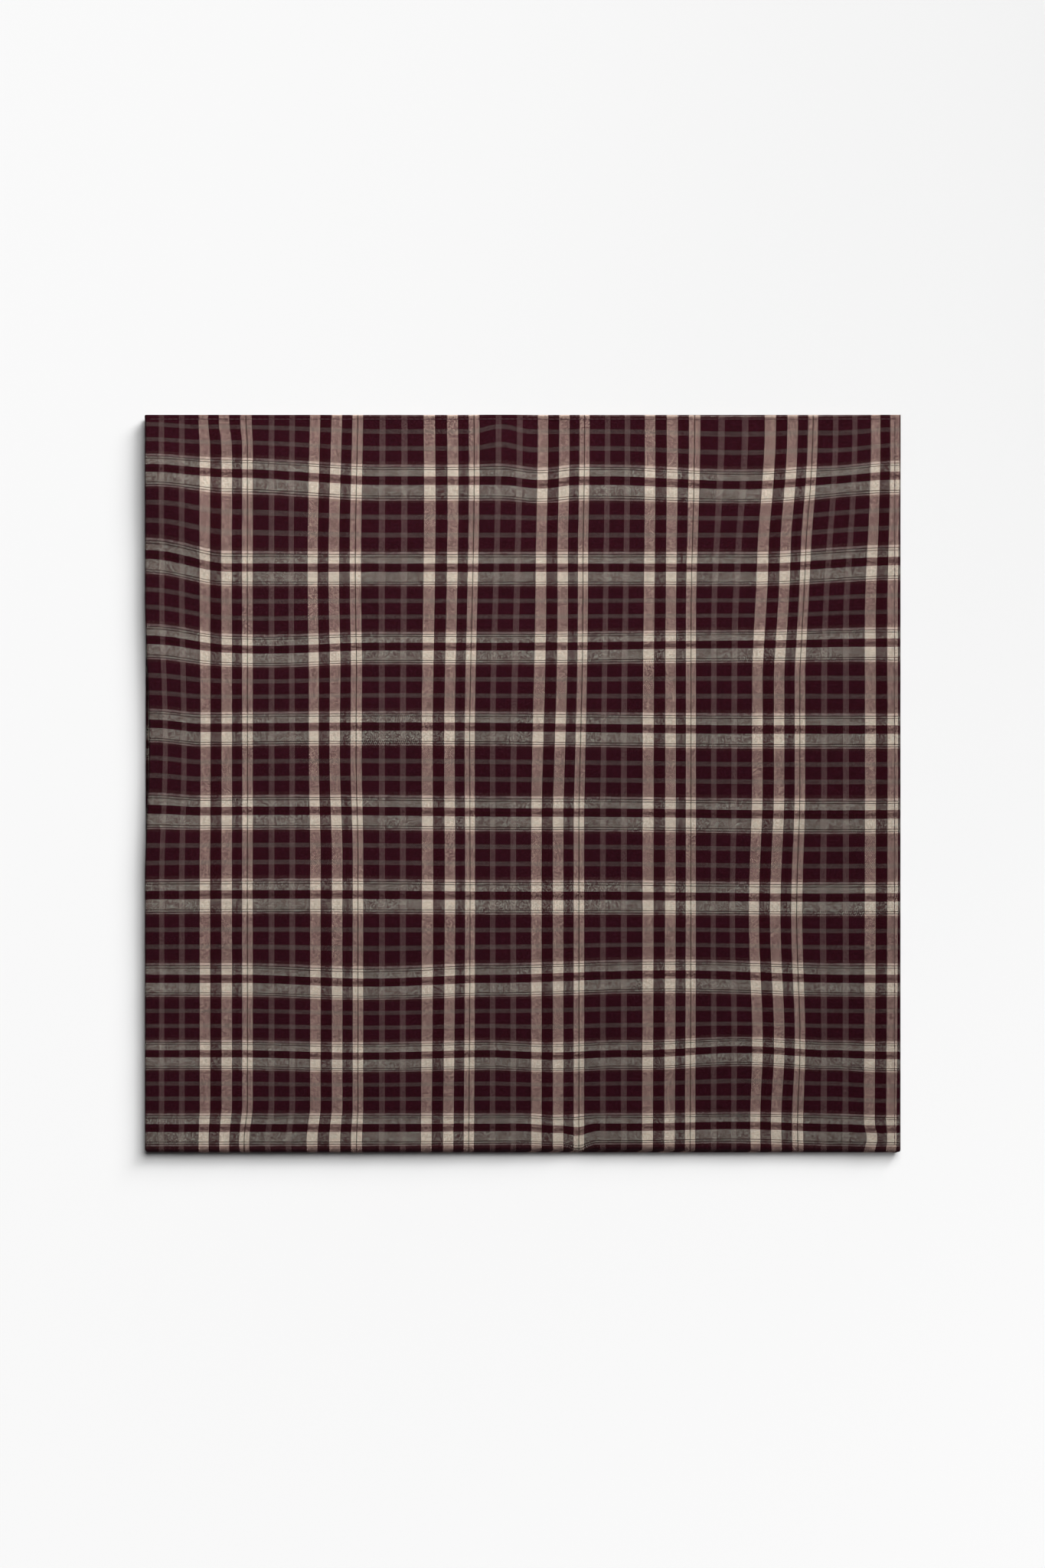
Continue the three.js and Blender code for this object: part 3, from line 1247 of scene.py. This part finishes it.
@dataclass(frozen=True)
class SoftSpot(SoftLamp):
    """A soft spotlight, aimed at a place on the floor and fading from there to the edge of its beam."""

    aim_x: float = 0.0
    aim_y: float = 0.0
    half_beam: float = 40.0
    light_type = "SPOT"

    def axis(self) -> Vector:
        """Gives the direction in which the spotlight shines."""
        return (Vector((self.aim_x, self.aim_y, 0.0)) - self.centre()).normalized()

    def shape(self, light: bpy.types.Light) -> None:
        """Gives the spotlight its beam and its soft face.

        Args:
            light: the spotlight's data.
        """
        light.spot_size = 2 * math.radians(self.half_beam)
        light.spot_blend = 1.0
        light.shadow_soft_size = self.size / 2

    def brightness(self, recipe: NodeRecipe, turned: Socket) -> Socket:
        """Works out how brightly the spotlight shines along a ray.

        Args:
            recipe: the floor material's recipe.
            turned: the cosine of the ray's angle to the beam's axis.

        Returns:
            The brightness.
        """
        edge = math.cos(math.radians(self.half_beam))
        beam = recipe.clamped(recipe.math("DIVIDE", recipe.math("SUBTRACT", turned, edge), 1.0 - edge))
        slope = recipe.math("MULTIPLY_ADD", beam, -2.0, 3.0)
        smooth = recipe.math("MULTIPLY", recipe.math("MULTIPLY", beam, beam), slope)
        return recipe.math("DIVIDE", smooth, 4 * math.pi**2)


WIDE_LAMP = SoftLamp("wide_lamp", watts=116.1, distance=3.2, bearing=63.5, elevation=53.0, size=2.74)
SPOTLIGHT = SoftSpot(
    "spotlight",
    watts=77.7,
    distance=1.195,
    bearing=56.0,
    elevation=29.0,
    size=0.624,
    aim_x=-0.509,
    aim_y=0.252,
    half_beam=39.7,
)


@dataclass
class Studio:
    """A plain pale floor in a dim pale room, under a wide soft lamp and a spotlight at the far right."""

    floor_size: float = 6.0
    floor_drop: float = 0.05 * MM
    floor_brightness: float = 0.955
    floor_most_colour: float = 0.95
    room_light: float = 0.025
    lamps: tuple[SoftLamp, ...] = (WIDE_LAMP, SPOTLIGHT)

    def paper(self) -> bpy.types.Material:
        """Makes the floor's paper, toned and back-lit so that it looks even under its lamps.

        Returns:
            The material.
        """
        made, recipe = NodeRecipe.of_material("pale_paper")
        place = recipe.add("ShaderNodeTexCoord").outputs["Object"]
        lit = self.room_light
        for lamp in self.lamps:
            lit = recipe.math("ADD", lit, lamp.on_floor(recipe, place))
        even = recipe.math("DIVIDE", self.floor_brightness, lit)
        glow = recipe.math("MULTIPLY_ADD", lit, -self.floor_most_colour, self.floor_brightness)
        surface = recipe.add(
            "ShaderNodeBsdfPrincipled",
            Base_Color=recipe.grey(recipe.math("MINIMUM", even, self.floor_most_colour)),
            Emission_Color=WHITE,
            Emission_Strength=recipe.math("MAXIMUM", glow, 0.0),
            Roughness=1.0,
            Specular_IOR_Level=0.0,
        )
        recipe.add("ShaderNodeOutputMaterial", Surface=surface.outputs[0])
        return made

    def floor(self) -> bpy.types.Object:
        """Adds the floor.

        Returns:
            The floor.
        """
        bpy.ops.object.select_all(action="DESELECT")
        bpy.ops.mesh.primitive_plane_add(size=self.floor_size, location=(0.0, 0.0, -self.floor_drop))
        floor = bpy.context.object
        floor.name = "studio_floor"
        floor.data.materials.append(self.paper())
        return floor

    def light(self) -> None:
        """Adds the even light of the room and the soft lamps."""
        world = bpy.data.worlds.new("pale_room")
        world.use_nodes = True
        background = world.node_tree.nodes["Background"]
        background.inputs["Color"].default_value = WHITE
        background.inputs["Strength"].default_value = self.room_light
        bpy.context.scene.world = world
        for lamp in self.lamps:
            lamp.add()


def main() -> None:
    """Builds the camera, the cloth, its stitches, their finishes and the studio, in that order."""
    logging.basicConfig(level=logging.INFO, format="%(name)s: %(message)s")
    low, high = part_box(NODE)
    bandana = FoldedCloth()
    OverheadCamera().place(pile_width=high.x - low.x, edge=bandana.neat_height * MM)

    cloth = bandana.build()
    cloth.data.materials.append(PlaidCotton().material())
    LOG.info("%s: one sheet of %d faces", cloth.name, len(cloth.data.polygons))

    stitches = HemStitches(bandana).build()
    stitches.data.materials.append(SewingThread().material())
    LOG.info("%s: %d faces", stitches.name, len(stitches.data.polygons))

    for piece in (cloth, stitches):
        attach(piece, BODY)
    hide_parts(NODE)

    studio = Studio()
    studio.floor()
    studio.light()
    bpy.context.scene.view_settings.view_transform = "Standard"


if __name__ == "__main__":
    main()
